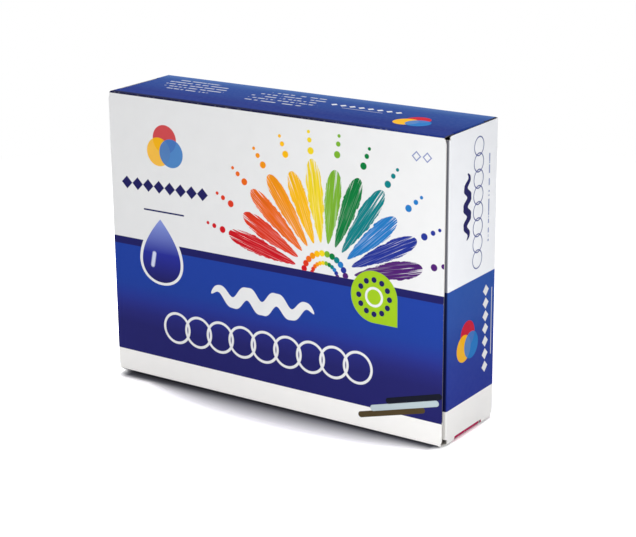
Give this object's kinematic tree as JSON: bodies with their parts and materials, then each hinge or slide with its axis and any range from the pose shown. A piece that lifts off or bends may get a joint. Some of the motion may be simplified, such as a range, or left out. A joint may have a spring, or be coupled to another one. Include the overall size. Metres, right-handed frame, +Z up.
{
  "type": "gouache paint box",
  "caption": "Printed board carton with tuck-in end flaps, standing on its long side, that holds screw-lid jars of gouache paint.",
  "frame": {"origin": "middle of the footprint, under the bottom panel", "axes": "+X along the front to its right-hand end, +Y from the front to the back, +Z up"},
  "size_m": [0.158, 0.04, 0.1217],
  "materials": {
    "printed_board": "satin",
    "blue_board": "satin",
    "magenta_board": "satin",
    "bare_board": "matte",
    "jar_plastic": "gloss",
    "paint_white": "matte",
    "lid_white": "satin",
    "paint_lemon": "matte",
    "lid_lemon": "satin",
    "paint_ochre": "matte",
    "lid_ochre": "satin",
    "paint_orange": "matte",
    "lid_orange": "satin",
    "paint_scarlet": "matte",
    "lid_scarlet": "satin",
    "paint_crimson": "matte",
    "lid_crimson": "satin",
    "paint_violet": "matte",
    "lid_violet": "satin",
    "paint_ultramarine": "matte",
    "lid_ultramarine": "satin",
    "paint_sky_blue": "matte",
    "lid_sky_blue": "satin",
    "paint_emerald": "matte",
    "lid_emerald": "satin",
    "paint_brown": "matte",
    "lid_brown": "satin",
    "paint_black": "matte",
    "lid_black": "satin"
  },
  "bodies": {
    "carton": {"front_panel": "printed_board", "top_panel": "blue_board", "back_panel": "printed_board", "bottom_panel": "magenta_board", "glue_flap": "bare_board", "jar_01": "jar_plastic", "jar_02": "jar_plastic", "jar_03": "jar_plastic", "jar_04": "jar_plastic", "jar_05": "jar_plastic", "jar_06": "jar_plastic", "jar_07": "jar_plastic", "jar_08": "jar_plastic", "jar_09": "jar_plastic", "jar_10": "jar_plastic", "jar_11": "jar_plastic", "jar_12": "jar_plastic", "paint_01": "paint_white", "paint_02": "paint_lemon", "paint_03": "paint_ochre", "paint_04": "paint_orange", "paint_05": "paint_scarlet", "paint_06": "paint_crimson", "paint_07": "paint_violet", "paint_08": "paint_ultramarine", "paint_09": "paint_sky_blue", "paint_10": "paint_emerald", "paint_11": "paint_brown", "paint_12": "paint_black"},
    "right_closure": {"right_closure": "printed_board"},
    "right_tongue": {"right_tongue": "bare_board"},
    "right_top_dust_flap": {"right_top_dust_flap": "blue_board"},
    "right_bottom_dust_flap": {"right_bottom_dust_flap": "magenta_board"},
    "left_closure": {"left_closure": "printed_board"},
    "left_tongue": {"left_tongue": "bare_board"},
    "left_top_dust_flap": {"left_top_dust_flap": "blue_board"},
    "left_bottom_dust_flap": {"left_bottom_dust_flap": "magenta_board"},
    "lid_01": {"lid_01": "lid_white"},
    "lid_02": {"lid_02": "lid_lemon"},
    "lid_03": {"lid_03": "lid_ochre"},
    "lid_04": {"lid_04": "lid_orange"},
    "lid_05": {"lid_05": "lid_scarlet"},
    "lid_06": {"lid_06": "lid_crimson"},
    "lid_07": {"lid_07": "lid_violet"},
    "lid_08": {"lid_08": "lid_ultramarine"},
    "lid_09": {"lid_09": "lid_sky_blue"},
    "lid_10": {"lid_10": "lid_emerald"},
    "lid_11": {"lid_11": "lid_brown"},
    "lid_12": {"lid_12": "lid_black"}
  },
  "joints": [
    {"name": "right_closure_crease", "type": "hinge", "parent": "carton", "child": "right_closure", "pos_m": [0.079, 0.02, 0.06084], "axis": [0, 0, 1], "range_deg": [0, 120]},
    {"name": "right_tongue_crease", "type": "hinge", "parent": "right_closure", "child": "right_tongue", "pos_m": [0.0782, -0.0168, 0.06084], "axis": [0, 0, -1], "range_deg": [0, 72]},
    {"name": "right_top_dust_crease", "type": "hinge", "parent": "carton", "child": "right_top_dust_flap", "pos_m": [0.0782, 0, 0.12169], "axis": [0, -1, 0], "range_deg": [0, 90]},
    {"name": "right_bottom_dust_crease", "type": "hinge", "parent": "carton", "child": "right_bottom_dust_flap", "pos_m": [0.0782, 0, 0], "axis": [0, 1, 0], "range_deg": [0, 90]},
    {"name": "left_closure_crease", "type": "hinge", "parent": "carton", "child": "left_closure", "pos_m": [-0.079, 0.02, 0.06084], "axis": [0, 0, -1], "range_deg": [0, 120]},
    {"name": "left_tongue_crease", "type": "hinge", "parent": "left_closure", "child": "left_tongue", "pos_m": [-0.0782, -0.0168, 0.06084], "axis": [0, 0, 1], "range_deg": [0, 72]},
    {"name": "left_top_dust_crease", "type": "hinge", "parent": "carton", "child": "left_top_dust_flap", "pos_m": [-0.0782, 0, 0.12169], "axis": [0, 1, 0], "range_deg": [0, 90]},
    {"name": "left_bottom_dust_crease", "type": "hinge", "parent": "carton", "child": "left_bottom_dust_flap", "pos_m": [-0.0782, 0, 0], "axis": [0, -1, 0], "range_deg": [0, 90]},
    {"name": "lid_01_screw", "type": "hinge", "parent": "carton", "child": "lid_01", "pos_m": [-0.05805, -0.01515, 0.02089], "axis": [0, -1, 0], "range_deg": [0, 270]},
    {"name": "lid_02_screw", "type": "hinge", "parent": "carton", "child": "lid_02", "pos_m": [-0.01935, -0.01515, 0.02089], "axis": [0, -1, 0], "range_deg": [0, 270]},
    {"name": "lid_03_screw", "type": "hinge", "parent": "carton", "child": "lid_03", "pos_m": [0.01935, -0.01515, 0.02089], "axis": [0, -1, 0], "range_deg": [0, 270]},
    {"name": "lid_04_screw", "type": "hinge", "parent": "carton", "child": "lid_04", "pos_m": [0.05805, -0.01515, 0.02089], "axis": [0, -1, 0], "range_deg": [0, 270]},
    {"name": "lid_05_screw", "type": "hinge", "parent": "carton", "child": "lid_05", "pos_m": [-0.05805, -0.01515, 0.05959], "axis": [0, -1, 0], "range_deg": [0, 270]},
    {"name": "lid_06_screw", "type": "hinge", "parent": "carton", "child": "lid_06", "pos_m": [-0.01935, -0.01515, 0.05959], "axis": [0, -1, 0], "range_deg": [0, 270]},
    {"name": "lid_07_screw", "type": "hinge", "parent": "carton", "child": "lid_07", "pos_m": [0.01935, -0.01515, 0.05959], "axis": [0, -1, 0], "range_deg": [0, 270]},
    {"name": "lid_08_screw", "type": "hinge", "parent": "carton", "child": "lid_08", "pos_m": [0.05805, -0.01515, 0.05959], "axis": [0, -1, 0], "range_deg": [0, 270]},
    {"name": "lid_09_screw", "type": "hinge", "parent": "carton", "child": "lid_09", "pos_m": [-0.05805, -0.01515, 0.09829], "axis": [0, -1, 0], "range_deg": [0, 270]},
    {"name": "lid_10_screw", "type": "hinge", "parent": "carton", "child": "lid_10", "pos_m": [-0.01935, -0.01515, 0.09829], "axis": [0, -1, 0], "range_deg": [0, 270]},
    {"name": "lid_11_screw", "type": "hinge", "parent": "carton", "child": "lid_11", "pos_m": [0.01935, -0.01515, 0.09829], "axis": [0, -1, 0], "range_deg": [0, 270]},
    {"name": "lid_12_screw", "type": "hinge", "parent": "carton", "child": "lid_12", "pos_m": [0.05805, -0.01515, 0.09829], "axis": [0, -1, 0], "range_deg": [0, 270]}
  ],
  "couplings": [
    {"joint": "right_tongue_crease", "follows": "right_closure_crease", "ratio": 0.6},
    {"joint": "right_top_dust_crease", "follows": "right_closure_crease", "ratio": 0.75},
    {"joint": "right_bottom_dust_crease", "follows": "right_closure_crease", "ratio": 0.75},
    {"joint": "left_tongue_crease", "follows": "left_closure_crease", "ratio": 0.6},
    {"joint": "left_top_dust_crease", "follows": "left_closure_crease", "ratio": 0.75},
    {"joint": "left_bottom_dust_crease", "follows": "left_closure_crease", "ratio": 0.75}
  ]
}
